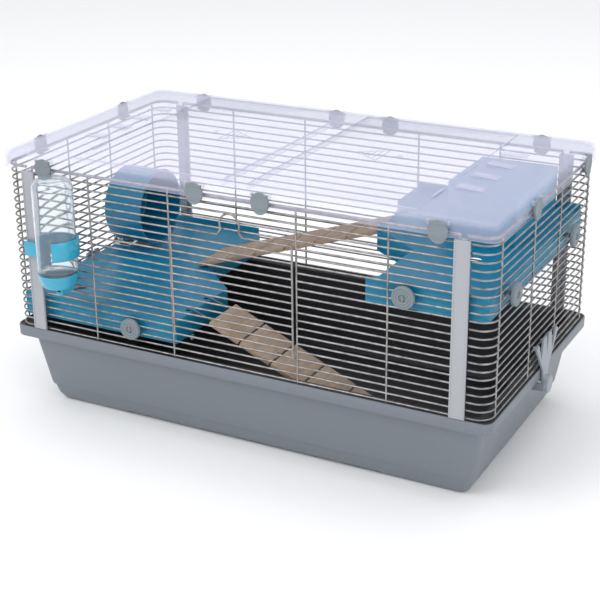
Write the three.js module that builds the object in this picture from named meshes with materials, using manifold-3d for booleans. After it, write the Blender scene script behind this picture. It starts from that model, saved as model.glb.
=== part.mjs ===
// A two-storey hamster cage: a plastic tray, a wire top with a door, a clear roof with two lids,
// two shelves joined by wooden ladders, a wheel, a hide and a drinking bottle.
// Millimetres, +X along the front, +Y to the back, +Z up, origin under the middle of the tray.
import * as THREE from "three";
import { mergeVertices } from "three/addons/utils/BufferGeometryUtils.js";
import Module from "manifold-3d";

const wasm = await Module();
wasm.setup();

// Driving dimensions
const WALL_X = 330; // middle plane of the end wires
const WALL_Y = 179; // middle plane of the front and back wires
const WIRE = 2.4; // thickness of a wire
const PITCH = 10; // spacing of the level wires
const ROWS = 22; // level wires under the rail
const FIRST_ROW_Z = 118;
const RAIL_Z = 337;
const RAIL = 4;
const UPRIGHT_X = [87, 203.5]; // upright wires of the front and back
const PANEL_END_X = 288; // last upright of the flat front and back panels
const UPRIGHT_Y = [48, 159]; // upright wires of the ends
const WIRE_CORNER = 18; // bend of the level wires round a corner
const DOORWAY_ROWS = [3, 18]; // level wires under and over the doorway
const POST_X = 292.5;
const ROOF_BOTTOM = 333;
const ROOF_TOP = 355;
const ROOF_X = 333.8;
const ROOF_Y = 183.2;
const LID_INNER_X = 16;
const LID_HINGE_X = 232;
const LID_Y = 168;
const LID_TOP = 354.4;
const FRONT_CLIP_X = [-265, -45, 44, 265];
const BACK_CLIP_X = [-257, -41, 41, 257];
const LEFT_CLIP_Y = [-96, 96];
const RIGHT_CLIP_Y = [-66, 126];
const CLIP_PIVOT_Z = 349;
const LATCH_PIVOT_Z = 93;
const LEFT_SHELF_TOP = 160;
const RIGHT_SHELF_TOP = 265;
const SHELF_DEPTH = 30; // height of a shelf's skirt
const SHELF_WALL = 2.2;
const SHELF_Y = 172;
const KNOB_DROP = 16; // knob axis below the shelf, rounded to a gap between wires
const WHEEL = { x: -255, y: 57, z: 218.4, radius: 53, width: 60 };
const BOTTLE = { x: -235.5, y: -210, radius: 25.5 };
const LADDER_PITCH = 48;
const PLANK = { length: 45.8, thickness: 5.5 };
const RAMP = { x: -57, z: 155.3, slope: -24.5, y: -109.5, width: 66, planks: 7, hook: [-97, 161.4] };
const BRIDGE = { x: 106, z: 256, slope: 18.45, y: 40, width: 70, planks: 6, hook: [121, 266.4] };
const LADDER_WIRE_Y = 22;
const GAP = 0.4; // clearance between pieces that touch

// ---- solids -------------------------------------------------------------------------------

function solid(geometry) {
  const bare = geometry.index ? geometry.toNonIndexed() : geometry.clone();
  bare.deleteAttribute("normal");
  bare.deleteAttribute("uv");
  const merged = mergeVertices(bare, 1e-4);
  return new wasm.Manifold(
    new wasm.Mesh({
      numProp: 3,
      vertProperties: merged.attributes.position.array,
      triVerts: new Uint32Array(merged.index.array),
    }),
  );
}

function geometryOf(manifold) {
  const mesh = manifold.getMesh();
  return new THREE.BufferGeometry()
    .setAttribute("position", new THREE.BufferAttribute(mesh.vertProperties, 3))
    .setIndex(new THREE.BufferAttribute(mesh.triVerts, 1));
}

const join = (...parts) => geometryOf(parts.flat().map(solid).reduce((a, b) => a.add(b)));
const cut = (body, ...tools) =>
  geometryOf(tools.flat().map(solid).reduce((a, b) => a.subtract(b), solid(body)));

function box(x0, x1, y0, y1, z0, z1) {
  return new THREE.BoxGeometry(x1 - x0, y1 - y0, z1 - z0).translate(
    (x0 + x1) / 2,
    (y0 + y1) / 2,
    (z0 + z1) / 2,
  );
}

// A cylinder from low to high along one axis; the other two coordinates give its place.
function rod(axis, radius, low, high, [x, y, z], sides = 12) {
  const bar = new THREE.CylinderGeometry(radius, radius, high - low, sides);
  const middle = (low + high) / 2;
  if (axis === "x") return bar.rotateZ(Math.PI / 2).translate(middle, y, z);
  if (axis === "z") return bar.rotateX(Math.PI / 2).translate(x, y, middle);
  return bar.translate(x, middle, z);
}

const outline = (points) => new THREE.Shape(points.map(([x, y]) => new THREE.Vector2(x, y)));

// An outline in the XY plane raised from z0 to z1.
const slab = (points, z0, z1) =>
  new THREE.ExtrudeGeometry(outline(points), { depth: z1 - z0, bevelEnabled: false }).translate(
    0,
    0,
    z0,
  );

// An outline in the XZ plane, thick from y0 to y1.
const upright = (shape, y0, y1) =>
  new THREE.ExtrudeGeometry(shape, { depth: y1 - y0, bevelEnabled: false })
    .rotateX(Math.PI / 2)
    .translate(0, y1, 0);

function roundedRectangle(halfX, halfY, radius, steps = 4) {
  const points = [];
  const corners = [[1, 1], [-1, 1], [-1, -1], [1, -1]];
  corners.forEach(([sx, sy], quarter) => {
    for (let i = 0; i <= steps; i++) {
      const angle = (quarter + i / steps) * (Math.PI / 2);
      points.push([
        sx * (halfX - radius) + radius * Math.cos(angle),
        sy * (halfY - radius) + radius * Math.sin(angle),
      ]);
    }
  });
  return points;
}

// A shell through level rounded rectangles [halfX, halfY, radius, z], closed at the first and last.
function shell(levels) {
  const rings = levels.map(([x, y, r, z]) => roundedRectangle(x, y, r).map((p) => [...p, z]));
  const count = rings[0].length;
  const index = [];
  for (let k = 0; k + 1 < rings.length; k++) {
    for (let i = 0; i < count; i++) {
      const a = k * count + i;
      const b = k * count + ((i + 1) % count);
      index.push(a, b, b + count, a, b + count, a + count);
    }
  }
  const last = (rings.length - 1) * count;
  for (let i = 1; i + 1 < count; i++) {
    index.push(0, i + 1, i, last, last + i, last + i + 1);
  }
  return new THREE.BufferGeometry()
    .setAttribute("position", new THREE.Float32BufferAttribute(rings.flat(2), 3))
    .setIndex(index);
}

// Moves each side of an anticlockwise outline inwards by the distance.
function inset(points, distance) {
  const count = points.length;
  return points.map(([x, y], i) => {
    const [px, py] = points[(i + count - 1) % count];
    const [nx, ny] = points[(i + 1) % count];
    const before = new THREE.Vector2(x - px, y - py).normalize();
    const after = new THREE.Vector2(nx - x, ny - y).normalize();
    const scale = distance / (1 + before.dot(after));
    return [x - scale * (before.y + after.y), y + scale * (before.x + after.x)];
  });
}

function turned(profile, sides) {
  return new THREE.LatheGeometry(profile.map(([r, h]) => new THREE.Vector2(r, h)), sides);
}

// ---- materials and the scene graph --------------------------------------------------------

const finishes = {
  greyPlastic: [0x7f868f, 0.45, 0],
  darkPlastic: [0x2c2d32, 0.6, 0],
  paleGrey: [0xb4b7be, 0.45, 0],
  clipGrey: [0x7f8c94, 0.5, 0],
  tealPlastic: [0x1f86ad, 0.3, 0],
  clearPlastic: [0xe6e6f2, 0.12, 0],
  wire: [0xa9a8ac, 0.3, 0.9],
  steel: [0xc8c8cc, 0.2, 1],
  wood: [0xb89b7c, 0.75, 0],
};

const cage = new THREE.Group();

function add(name, finish, geometry, parent = cage) {
  const [color, roughness, metalness] = finishes[finish];
  const mesh = new THREE.Mesh(
    geometry,
    new THREE.MeshStandardMaterial({ color, roughness, metalness }),
  );
  mesh.name = name;
  parent.add(mesh);
}

// A group turned so that its own -Y, the side away from the cage, faces out of the given wall.
function onWall(wall, along, distance) {
  const turn = { front: 0, right: Math.PI / 2, back: Math.PI, left: -Math.PI / 2 }[wall];
  const group = new THREE.Group();
  group.rotation.z = turn;
  const out = { front: [0, -1], right: [1, 0], back: [0, 1], left: [-1, 0] }[wall];
  const side = wall === "front" || wall === "back" ? [along, 0] : [0, along];
  group.position.set(side[0] + out[0] * distance, side[1] + out[1] * distance, 0);
  cage.add(group);
  return group;
}

// ---- tray ---------------------------------------------------------------------------------

// The tray stands on its four corners and a pad in the middle; the rest of its underside is recessed.
function trayWithFeet() {
  const tub = shell([
    [289, 142, 10, 0],
    [295, 148, 12, 3],
    [299.5, 152.5, 12, 10],
    [304, 157, 12, 24],
    [305.5, 158.5, 12, 25.5],
    [319, 172, 10, 110.8],
    [332, 181, 7, 110.8],
    [332, 181, 7, 101],
    [334, 183, 8, 101],
    [334.5, 183.5, 8, 116],
    [332.7, 181.7, 6.5, 116],
    [332.7, 181.7, 6.5, 113],
    [316.6, 169.6, 8.5, 113],
    [303, 156, 10.5, 26.5],
    [297.2, 150.2, 12, 11],
    [294.6, 147.6, 10, 6.6],
  ]);
  const recesses = [box(-186, 186, -160, 160, -1, 4.4), box(-310, 310, -20, 20, -1, 4.4)];
  const middlePad = box(-45, 45, -30, 30, 0, 5);
  const lugs = [-1, 1].flatMap((side) =>
    [-1, 1].map((end) => {
      const [x0, x1] = side > 0 ? [316, 341] : [-341, -316];
      const y = 14 * end;
      return box(x0, x1, y - 1.5, y + 1.5, LATCH_PIVOT_Z - 5, LATCH_PIVOT_Z + 5);
    }),
  );
  return join(cut(tub, recesses), middlePad, lugs);
}

function litterLiner() {
  return shell([
    [294, 147, 9.5, 6.9],
    [296.6, 149.6, 11.5, 11.3],
    [302.4, 155.4, 10, 26.8],
    [316.1, 169.1, 8, 113.3],
    [332.2, 181.2, 6, 113.3],
    [332.2, 181.2, 6, 114.9],
    [314.5, 167.5, 7.5, 114.9],
    [300.8, 153.8, 9.5, 27],
    [295, 148, 10.5, 12.4],
    [292.6, 145.6, 8.5, 8.6],
  ]);
}

// ---- wire walls ---------------------------------------------------------------------------

const rowZ = (row) => FIRST_ROW_Z + PITCH * row;

// Height bands of the level wires, from the lowest up to the rail.
const bands = Array.from({ length: ROWS }, (_, row) => [
  rowZ(row) - WIRE / 2,
  rowZ(row) + WIRE / 2,
]).concat([[RAIL_Z - RAIL / 2, RAIL_Z + RAIL / 2]]);

// A flat welded panel in the XZ plane: uprights at the given places, level wires in the given bands.
// A doorway leaves one bay open between two of the level wires.
function wirePanel(places, levels, doorway) {
  const half = WIRE / 2;
  const xs = places.flatMap((x) => [x - half, x + half]);
  const zs = levels.flat();
  const inDoorway = (i, k) =>
    doorway && i === 2 * doorway.bay + 1 && k > 2 * doorway.rows[0] && k < 2 * doorway.rows[1];
  const inside = (i, k) => i >= 0 && k >= 0 && i < xs.length - 1 && k < zs.length - 1;
  const filled = (i, k) => inside(i, k) && (i % 2 === 0 || k % 2 === 0) && !inDoorway(i, k);
  const corners = [];
  const quad = (a, b, c, d) => corners.push(a, b, c, a, c, d);
  for (let i = 0; i + 1 < xs.length; i++) {
    for (let k = 0; k + 1 < zs.length; k++) {
      if (!filled(i, k)) continue;
      const [x0, x1, z0, z1] = [xs[i], xs[i + 1], zs[k], zs[k + 1]];
      const front = [[x0, -half, z0], [x1, -half, z0], [x1, -half, z1], [x0, -half, z1]];
      const back = front.map(([x, , z]) => [x, half, z]);
      quad(front[0], front[1], front[2], front[3]);
      quad(back[3], back[2], back[1], back[0]);
      if (!filled(i, k - 1)) quad(back[0], back[1], front[1], front[0]);
      if (!filled(i + 1, k)) quad(front[1], back[1], back[2], front[2]);
      if (!filled(i, k + 1)) quad(front[3], front[2], back[2], back[3]);
      if (!filled(i - 1, k)) quad(back[0], front[0], front[3], back[3]);
    }
  }
  return new THREE.BufferGeometry().setAttribute(
    "position",
    new THREE.Float32BufferAttribute(corners.flat(), 3),
  );
}

const panelPlaces = [-PANEL_END_X, -UPRIGHT_X[1], -UPRIGHT_X[0], ...UPRIGHT_X, PANEL_END_X];

function frontGrille() {
  const doorway = { bay: 2, rows: DOORWAY_ROWS };
  return join(wirePanel(panelPlaces, bands, doorway).translate(0, -WALL_Y, 0));
}

const backGrille = () => join(wirePanel(panelPlaces, bands).translate(0, WALL_Y, 0));

// The end of one level wire: out of the last upright, round the corner and along the front.
function wireBend(band) {
  const half = WIRE / 2;
  const cx = WALL_X - WIRE_CORNER;
  const cy = WALL_Y - WIRE_CORNER;
  const arc = (radius) =>
    [0, 0.5, 1].map((t) => [
      cx + radius * Math.cos((t * Math.PI) / 2),
      cy + radius * Math.sin((t * Math.PI) / 2),
    ]);
  const start = UPRIGHT_Y[1];
  const end = 297;
  const outer = [[WALL_X + half, start], ...arc(WIRE_CORNER + half), [end, WALL_Y + half]];
  const inner = [[WALL_X - half, start], ...arc(WIRE_CORNER - half), [end, WALL_Y - half]];
  return slab([...outer, ...inner.reverse()], band[0], band[1]);
}

function endGrille(side) {
  const places = [-UPRIGHT_Y[1], -UPRIGHT_Y[0], ...UPRIGHT_Y];
  const flat = wirePanel(places, bands).rotateZ(Math.PI / 2).translate(WALL_X, 0, 0);
  const back = bands.map(wireBend);
  const front = bands.map((band) => wireBend(band).scale(1, -1, 1));
  front.forEach(reverseFaces);
  const whole = join(flat, back, front);
  return side > 0 ? whole : whole.rotateZ(Math.PI);
}

// Turns the faces of a mirrored geometry the right way round again.
function reverseFaces(geometry) {
  const position = geometry.getAttribute("position");
  const corner = new THREE.Vector3();
  const other = new THREE.Vector3();
  for (let i = 0; i < position.count; i += 3) {
    corner.fromBufferAttribute(position, i + 1);
    other.fromBufferAttribute(position, i + 2);
    position.setXYZ(i + 1, other.x, other.y, other.z);
    position.setXYZ(i + 2, corner.x, corner.y, corner.z);
  }
}

// The door hangs on the level wire under the doorway and overlaps the front from outside.
function frontDoor() {
  const half = WIRE / 2;
  const levels = Array.from({ length: 14 }, (_, row) => {
    const z = rowZ(DOORWAY_ROWS[0]) + 2.3 + PITCH * row;
    return [z - half, z + half];
  });
  levels.push([289.6, 292.6]);
  const leaf = wirePanel([-83, 83], levels).translate(0, -182.8, 0);
  const hingeZ = rowZ(DOORWAY_ROWS[0]);
  const eyes = [-60, 60].map((x) =>
    cut(
      rod("x", 3.9, x - 1.2, x + 1.2, [0, -WALL_Y, hingeZ], 10),
      rod("x", 2.3, x - 2, x + 2, [0, -WALL_Y, hingeZ], 8),
    ),
  );
  const straps = [-60, 60].map((x) => box(x - 1.2, x + 1.2, -183.8, -182.2, hingeZ - 1, hingeZ + 5));
  return join(leaf, eyes, straps, latchLoop());
}

// A wire bent up into a round loop in the middle of the door's top wire, to press with a finger.
function latchLoop() {
  const arc = [];
  for (let i = 0; i <= 8; i++) {
    const angle = Math.PI + (Math.PI * i) / 8;
    arc.push([14 * Math.cos(angle), 306 - 13 * Math.sin(angle)]);
  }
  const middle = [[-14, 291], ...arc, [14, 291]];
  const outer = middle.map(([x, z], i) => (i === 0 || i === middle.length - 1
    ? [x + Math.sign(x) * 1.2, z]
    : [x * 1.086, 306 + (z - 306) * 1.092]));
  const inner = middle.map(([x, z], i) => (i === 0 || i === middle.length - 1
    ? [x - Math.sign(x) * 1.2, z]
    : [x * 0.914, 306 + (z - 306) * 0.908]));
  return upright(outline([...outer, ...inner.reverse()].reverse()), -184, -181.6);
}

// A strip that covers the seam between a flat panel and an end, hooked over the top wire.
function cornerPost() {
  const strip = box(-9.5, 9.5, -5, -2.4, 116.6, 332.4);
  const ribs = [-8.5, 8.5].map((x) => box(x - 1, x + 1, -5.8, -4.8, 117.6, 331));
  const hook = box(-2.8, 2.8, -5, 3.6, 330.4, 332.4);
  const tongue = box(-2.8, 2.8, 1.6, 3.6, 321, 332.4);
  return join(strip, ribs, hook, tongue);
}

// ---- roof ---------------------------------------------------------------------------------

const clipPlaces = [
  ...FRONT_CLIP_X.map((along, i) => ({ name: "front_clip_" + (i + 1), wall: "front", along })),
  ...BACK_CLIP_X.map((along, i) => ({ name: "back_clip_" + (i + 1), wall: "back", along })),
  ...LEFT_CLIP_Y.map((along, i) => ({ name: "left_clip_" + (i + 1), wall: "left", along })),
  ...RIGHT_CLIP_Y.map((along, i) => ({ name: "right_clip_" + (i + 1), wall: "right", along })),
];

// The two ears beside one clip, on the face of the roof's skirt.
function clipEars({ wall, along }) {
  const flat = wall === "front" || wall === "back";
  const sign = wall === "front" || wall === "left" ? -1 : 1;
  const face = sign * ((flat ? ROOF_Y : ROOF_X) - 1);
  const tip = face + sign * 5.6;
  const [near, far] = [Math.min(face, tip), Math.max(face, tip)];
  const [z0, z1] = [CLIP_PIVOT_Z - 2.2, CLIP_PIVOT_Z + 3];
  return [-12, 12].map((offset) => {
    const [a, b] = [along + offset - 1.2, along + offset + 1.2];
    return flat ? box(a, b, near, far, z0, z1) : box(near, far, a, b, z0, z1);
  });
}

function roofFrame() {
  const cover = shell([
    [ROOF_X - 9, ROOF_Y - 9, 12, ROOF_TOP - 2],
    [ROOF_X - 4, ROOF_Y - 4, 16, ROOF_TOP - 5],
    [ROOF_X - 2, ROOF_Y - 2, 18, ROOF_TOP - 9],
    [ROOF_X - 2, ROOF_Y - 2, 18, ROOF_BOTTOM],
    [ROOF_X, ROOF_Y, 20, ROOF_BOTTOM],
    [ROOF_X, ROOF_Y, 20, ROOF_TOP - 8],
    [ROOF_X - 2, ROOF_Y - 2, 18, ROOF_TOP - 3],
    [ROOF_X - 8, ROOF_Y - 8, 13, ROOF_TOP],
  ]);
  const openings = [-1, 1].map((side) => {
    const far = LID_HINGE_X + 0.6;
    const [x0, x1] = side > 0 ? [LID_INNER_X, far] : [-far, -LID_INNER_X];
    return box(x0, x1, -LID_Y, LID_Y, 340, 360);
  });
  const notches = [-1, 1].flatMap((side) =>
    [-110, 110].map((y) => {
      const x = side * LID_HINGE_X;
      return box(x - 3.4, x + 3.4, y - 15.5, y + 15.5, 348, 360);
    }),
  );
  const bosses = [-1, 1].flatMap((side) =>
    [-75, -25, 25, 75].map((y) => {
      const [x0, x1] = side > 0 ? [244, 276] : [-276, -244];
      return box(x0, x1, y - 8, y + 8, ROOF_TOP - 1, ROOF_TOP + 3);
    }),
  );
  return join(cut(cover, openings, notches), bosses, clipPlaces.flatMap(clipEars));
}

// A lid turns up about its outer edge on two round knuckles.
function lid(side) {
  const [near, far] = [LID_INNER_X + GAP, LID_HINGE_X - GAP];
  const [x0, x1] = side > 0 ? [near, far] : [-far, -near];
  const edge = LID_Y - GAP;
  const plate = box(x0, x1, -edge, edge, LID_TOP - 2, LID_TOP);
  const [g0, g1] = side > 0 ? [near, near + 1.8] : [-near - 1.8, -near];
  const lip = box(g0, g1, -edge, edge, LID_TOP - 8, LID_TOP - 1);
  const knuckles = [-110, 110].map((y) =>
    rod("y", 2.6, y - 15, y + 15, [side * LID_HINGE_X, 0, LID_TOP], 10),
  );
  return join(plate, lip, knuckles);
}

// A lever with an egg-shaped head outside the skirt and a foot under the rail; its own -Y faces out.
function roofClip() {
  const head = Array.from({ length: 18 }, (_, i) => {
    const angle = (Math.PI * i) / 9;
    const reach = i < 9 ? 12 : 15;
    return [12 * Math.cos(angle), 340.5 + reach * Math.sin(angle)];
  });
  const plate = upright(outline(head), -5.2, -2.4);
  const foot = box(-7.5, 7.5, -5, 4, 330.5, 332.6);
  const barrel = rod("x", 1.7, -10.4, 10.4, [0, -3.7, CLIP_PIVOT_Z], 8);
  return join(plate, foot, barrel);
}

// ---- end latches --------------------------------------------------------------------------

// A fan of four prongs on a round thumb button, in front of the lowest wires; -Y faces out.
function endLatch() {
  const fan = outline([
    [-7, 98],
    [7, 98],
    [11, 114],
    [40, 152],
    [33, 157],
    [20, 131],
    [14, 158],
    [5, 159],
    [0, 132],
    [-5, 159],
    [-14, 158],
    [-20, 131],
    [-33, 157],
    [-40, 152],
    [-11, 114],
  ]);
  const plate = upright(fan, -7, -4.4);
  const button = rod("y", 11, -13, -4.6, [0, 0, LATCH_PIVOT_Z], 16);
  const barrel = rod("x", 3, -12.1, 12.1, [0, -8, LATCH_PIVOT_Z], 8);
  const noses = [-36, -9.5, 9.5, 36].map((x) => box(x - 2, x + 2, -5, -0.9, 151, 155));
  return join(plate, button, barrel, noses);
}

// ---- shelves and their knobs --------------------------------------------------------------

// An upside-down tray with a level top and a skirt, from an anticlockwise outline.
function shelf(points, top, { knobs, slots, hole, lip }) {
  const bottom = top - SHELF_DEPTH;
  const hollow = slab(inset(points, SHELF_WALL), bottom - 1, top - SHELF_WALL);
  const bosses = knobs.map(({ wall, along, z }) => {
    if (wall === "front") return box(along - 6, along + 6, -SHELF_Y + 1, -SHELF_Y + 9, z - 6, z + 6);
    const sign = wall === "left" ? -1 : 1;
    const [x0, x1] = sign < 0 ? [-321, -313] : [313, 321];
    return box(x0, x1, along - 6, along + 6, z - 6, z + 6);
  });
  const bores = knobs.map(({ wall, along, z }) => {
    if (wall === "front") return rod("y", 3, -SHELF_Y - 2, -SHELF_Y + 7.5, [along, 0, z], 8);
    const sign = wall === "left" ? -1 : 1;
    const [x0, x1] = sign < 0 ? [-324, -314.5] : [314.5, 324];
    return rod("x", 3, x0, x1, [0, along, z], 8);
  });
  const body = join(cut(slab(points, bottom, top), hollow), bosses, lip);
  return cut(body, bores, slots, hole);
}

const gapZ = (z) => FIRST_ROW_Z + PITCH / 2 + PITCH * Math.round((z - FIRST_ROW_Z) / PITCH - 0.5);

const leftKnobs = [
  { name: "left_shelf_front_knob", wall: "front", along: -150 },
  { name: "left_shelf_end_knob_1", wall: "left", along: -100 },
  { name: "left_shelf_end_knob_2", wall: "left", along: 117 },
].map((knob) => ({ ...knob, z: gapZ(LEFT_SHELF_TOP - KNOB_DROP) }));

const rightKnobs = [
  { name: "right_shelf_front_knob", wall: "front", along: 224 },
  { name: "right_shelf_end_knob_1", wall: "right", along: -117 },
  { name: "right_shelf_end_knob_2", wall: "right", along: 100 },
].map((knob) => ({ ...knob, z: gapZ(RIGHT_SHELF_TOP - KNOB_DROP) }));

function hookSlots(x0, x1, y, top) {
  return [y - LADDER_WIRE_Y, y + LADDER_WIRE_Y].map((wireY) =>
    box(x0, x1, wireY - 2.5, wireY + 2.5, top - 8, top + 8),
  );
}

function leftShelf() {
  const points = [[-322, -172], [-88, -172], [-88, -45], [-156, 16], [-156, 165], [-322, 165]];
  const slots = hookSlots(-98.5, -91.5, RAMP.y, LEFT_SHELF_TOP);
  const lip = box(-321, -157, 162.8, 165, LEFT_SHELF_TOP - 1, LEFT_SHELF_TOP + 8);
  const hole = rod("z", 9, 100, 200, [-270, -130, 0], 14);
  return shelf(points, LEFT_SHELF_TOP, { knobs: leftKnobs, slots, hole, lip });
}

function rightShelf() {
  const points = [
    [322, 165],
    [92, 165],
    [92, 100],
    [113, 74],
    [113, -11],
    [184, -62],
    [184, -160],
    [172, -172],
    [322, -172],
  ];
  const slots = hookSlots(117, 123.5, BRIDGE.y, RIGHT_SHELF_TOP);
  const lip = box(93, 321, 162.8, 165, RIGHT_SHELF_TOP - 1, RIGHT_SHELF_TOP + 8);
  const hole = rod("z", 9, 200, 300, [262, -61, 0], 14);
  return shelf(points, RIGHT_SHELF_TOP, { knobs: rightKnobs, slots, hole, lip });
}

// A round head outside the wires and a stud that goes between them; its own -Y faces out.
function shelfKnob(z) {
  const profile = [
    [0, -6],
    [5, -6],
    [6, -7.4],
    [12.8, -7.4],
    [14, -6],
    [14, -1.8],
    [2.6, -1.8],
    [2.6, 14.2],
    [0, 14.2],
  ];
  return turned(profile, 16).translate(0, 0, z);
}

// ---- ladders ------------------------------------------------------------------------------

// Planks threaded on two wires, whose ends hook down into slots in a shelf.
function ladder({ x, z, slope, y, width, planks, hook }) {
  const direction = slope < 0 ? 1 : -1;
  const angle = THREE.MathUtils.degToRad(slope);
  const length = planks * LADDER_PITCH - (LADDER_PITCH - PLANK.length);
  const place = (bar, along, drop) =>
    bar
      .translate(direction * along, 0, -drop)
      .rotateY(-angle)
      .translate(x, y, z);
  const boards = Array.from({ length: planks }, (_, i) =>
    place(
      new THREE.BoxGeometry(PLANK.length, width, PLANK.thickness),
      i * LADDER_PITCH + PLANK.length / 2,
      PLANK.thickness / 2,
    ),
  );
  const [hookX, hookZ] = hook;
  const lip = hookX + direction * 12;
  const wires = [-LADDER_WIRE_Y, LADDER_WIRE_Y].flatMap((offset) => {
    const at = y + offset;
    const run = place(new THREE.BoxGeometry(length - 8, 2, 2), length / 2 - 4, PLANK.thickness / 2)
      .translate(0, offset, 0);
    const [low, high] = [Math.min(hookX - direction, lip), Math.max(hookX - direction, lip)];
    const leg = box(hookX - 1, hookX + 1, at - 1, at + 1, hookZ - 6, hookZ + 1);
    const over = box(low, high, at - 1, at + 1, hookZ - 1, hookZ + 1);
    const foot = { x: x + direction * 6, z: z - 3 - 6 * Math.tan(Math.abs(angle)) };
    const down = slantedBar([lip - direction, hookZ], [foot.x, foot.z], at);
    return [run, leg, over, down];
  });
  return join(boards, wires);
}

// A square wire in the XZ plane between two points.
function slantedBar([x0, z0], [x1, z1], y) {
  const length = Math.hypot(x1 - x0, z1 - z0);
  return new THREE.BoxGeometry(length, 2, 2)
    .rotateY(-Math.atan2(z1 - z0, x1 - x0))
    .translate((x0 + x1) / 2, y, (z0 + z1) / 2);
}

// ---- wheel --------------------------------------------------------------------------------

// A drum closed on the end-wall side and open to the middle of the cage.
function wheelDrum() {
  const { x, y, z, radius, width } = WHEEL;
  const profile = [
    [3.1, -width],
    [radius - 1, -width],
    [radius, -width + 2],
    [radius, -2],
    [radius + 1, -2],
    [radius + 1, 0],
    [radius - 2.4, 0],
    [radius - 2.4, -width + 2.2],
    [9, -width + 2.2],
    [9, -width + 8],
    [3.1, -width + 8],
    [3.1, -width],
  ];
  return turned(profile, 28)
    .rotateZ(-Math.PI / 2)
    .translate(x, y, z);
}

function wheelAxle() {
  const { x, y, z, width } = WHEEL;
  const closed = -width;
  const profile = [
    [0, closed - 8],
    [3, closed - 8],
    [3, closed + 8.4],
    [6, closed + 8.4],
    [6, closed + 11],
    [0, closed + 11],
  ];
  return turned(profile, 12)
    .rotateZ(-Math.PI / 2)
    .translate(x, y, z);
}

function wheelStand() {
  const { x, y, z, width } = WHEEL;
  const back = x - width - 4.5;
  const post = slabInX(
    [[y - 26, 160.3], [y + 26, 160.3], [y + 9, z + 4], [y + 4, z + 10], [y - 4, z + 10], [y - 9, z + 4]],
    back - 2.5,
    back,
  );
  const foot = box(back - 2.5, back + 22, y - 26, y + 26, 160.3, 162.6);
  return cut(join(post, foot), rod("x", 3.3, back - 4, back + 2, [0, y, z], 12));
}

// An outline in the YZ plane, thick from x0 to x1.
const slabInX = (points, x0, x1) =>
  new THREE.ExtrudeGeometry(outline(points), { depth: x1 - x0, bevelEnabled: false })
    .rotateX(Math.PI / 2)
    .rotateZ(Math.PI / 2)
    .translate(x0, 0, 0);

// ---- hide ---------------------------------------------------------------------------------

function hideHouse() {
  const points = [[292, -5], [292, 150], [190, 150], [190, 30], [222, -5]];
  const bottom = RIGHT_SHELF_TOP + 0.3;
  const hollow = slab(inset(points, 2), bottom - 1, 323);
  const doorway = box(180, 200, 72, 112, bottom - 1, 306);
  return cut(slab(points, bottom, 325), hollow, doorway);
}

// ---- drinking bottle ----------------------------------------------------------------------

function bottleBody() {
  const { x, y, radius } = BOTTLE;
  const profile = [
    [20.5, 207.4],
    [22.1, 207.4],
    [22.1, 216.4],
    [radius, 216.8],
    [radius, 328],
    [radius - 3, 334.6],
    [radius - 10, 338],
    [0, 338],
    [0, 336],
    [radius - 11, 336],
    [radius - 4.6, 332.8],
    [radius - 1.6, 327.5],
    [radius - 1.6, 218.8],
    [20.5, 217.2],
    [20.5, 207.4],
  ];
  return turned(profile, 20).rotateX(Math.PI / 2).translate(x, y, 0);
}

// A cup under the bottle with a nose below it that carries the spout.
function bottleCap() {
  const { x, y, radius } = BOTTLE;
  const profile = [
    [0, 196],
    [15, 196],
    [21, 199],
    [24, 204],
    [radius + 0.4, 216],
    [22.5, 216],
    [22.5, 206],
    [0, 206],
  ];
  const cup = turned(profile, 20).rotateX(Math.PI / 2).translate(x, y, 0);
  const nose = rod("y", 5.5, y - 2, y + 24, [x, 0, 188], 12);
  const web = box(x - 5, x + 5, y - 2, y + 14, 188, 197);
  return cut(join(cup, web, nose), spoutRod(3.4, -20, 0, 10));
}

// Part of the spout's line, which slopes down into the cage through one gap between wires.
function spoutRod(radius, from, to, sides) {
  const slope = THREE.MathUtils.degToRad(-15);
  return rod("y", radius, from, to, [0, 0, 0], sides)
    .rotateX(slope)
    .translate(BOTTLE.x, BOTTLE.y + 26, 184.4);
}

const bottleSpout = () => spoutRod(3, -12, 30, 12);

// A ring open towards the front left, so that the bottle can be pressed out of it.
function bottleHolder() {
  const { x, y, radius } = BOTTLE;
  const profile = [
    [radius + 0.6, 238],
    [radius + 3, 238],
    [radius + 3.6, 244],
    [radius + 3.6, 262.5],
    [radius + 0.6, 262.5],
    [radius + 0.6, 238],
  ];
  const ring = turned(profile, 20).rotateX(Math.PI / 2).translate(x, y, 0);
  const mouth = slab([[x, y], [x - 60, y], [x - 60, y - 60], [x + 28, y - 60]], 220, 270);
  const arm = box(-303, x - radius - 2, -190.4, -187.4, 220, 240);
  const web = box(x - radius - 6, x - radius - 2, -209, -187.4, 222, 258);
  return join(cut(ring, mouth), arm, web);
}

// ---- assembly -----------------------------------------------------------------------------

add("base_tray", "greyPlastic", trayWithFeet());
add("litter_liner", "darkPlastic", litterLiner());

add("front_grille", "wire", frontGrille());
add("back_grille", "wire", backGrille());
add("left_grille", "wire", endGrille(-1));
add("right_grille", "wire", endGrille(1));
add("front_door", "wire", frontDoor());

[["front", -1, "left"], ["front", 1, "right"], ["back", -1, "left"], ["back", 1, "right"]].forEach(
  ([wall, side, end]) => {
    add(wall + "_" + end + "_post", "paleGrey", cornerPost(), onWall(wall, side * POST_X, WALL_Y));
  },
);

add("roof_frame", "clearPlastic", roofFrame());
add("left_lid", "clearPlastic", lid(-1));
add("right_lid", "clearPlastic", lid(1));
clipPlaces.forEach(({ name, wall, along }) => {
  const face = wall === "front" || wall === "back" ? ROOF_Y : ROOF_X;
  add(name, "clipGrey", roofClip(), onWall(wall, along, face));
});

add("left_latch", "paleGrey", endLatch(), onWall("left", 0, WALL_X + WIRE / 2));
add("right_latch", "paleGrey", endLatch(), onWall("right", 0, WALL_X + WIRE / 2));

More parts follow.
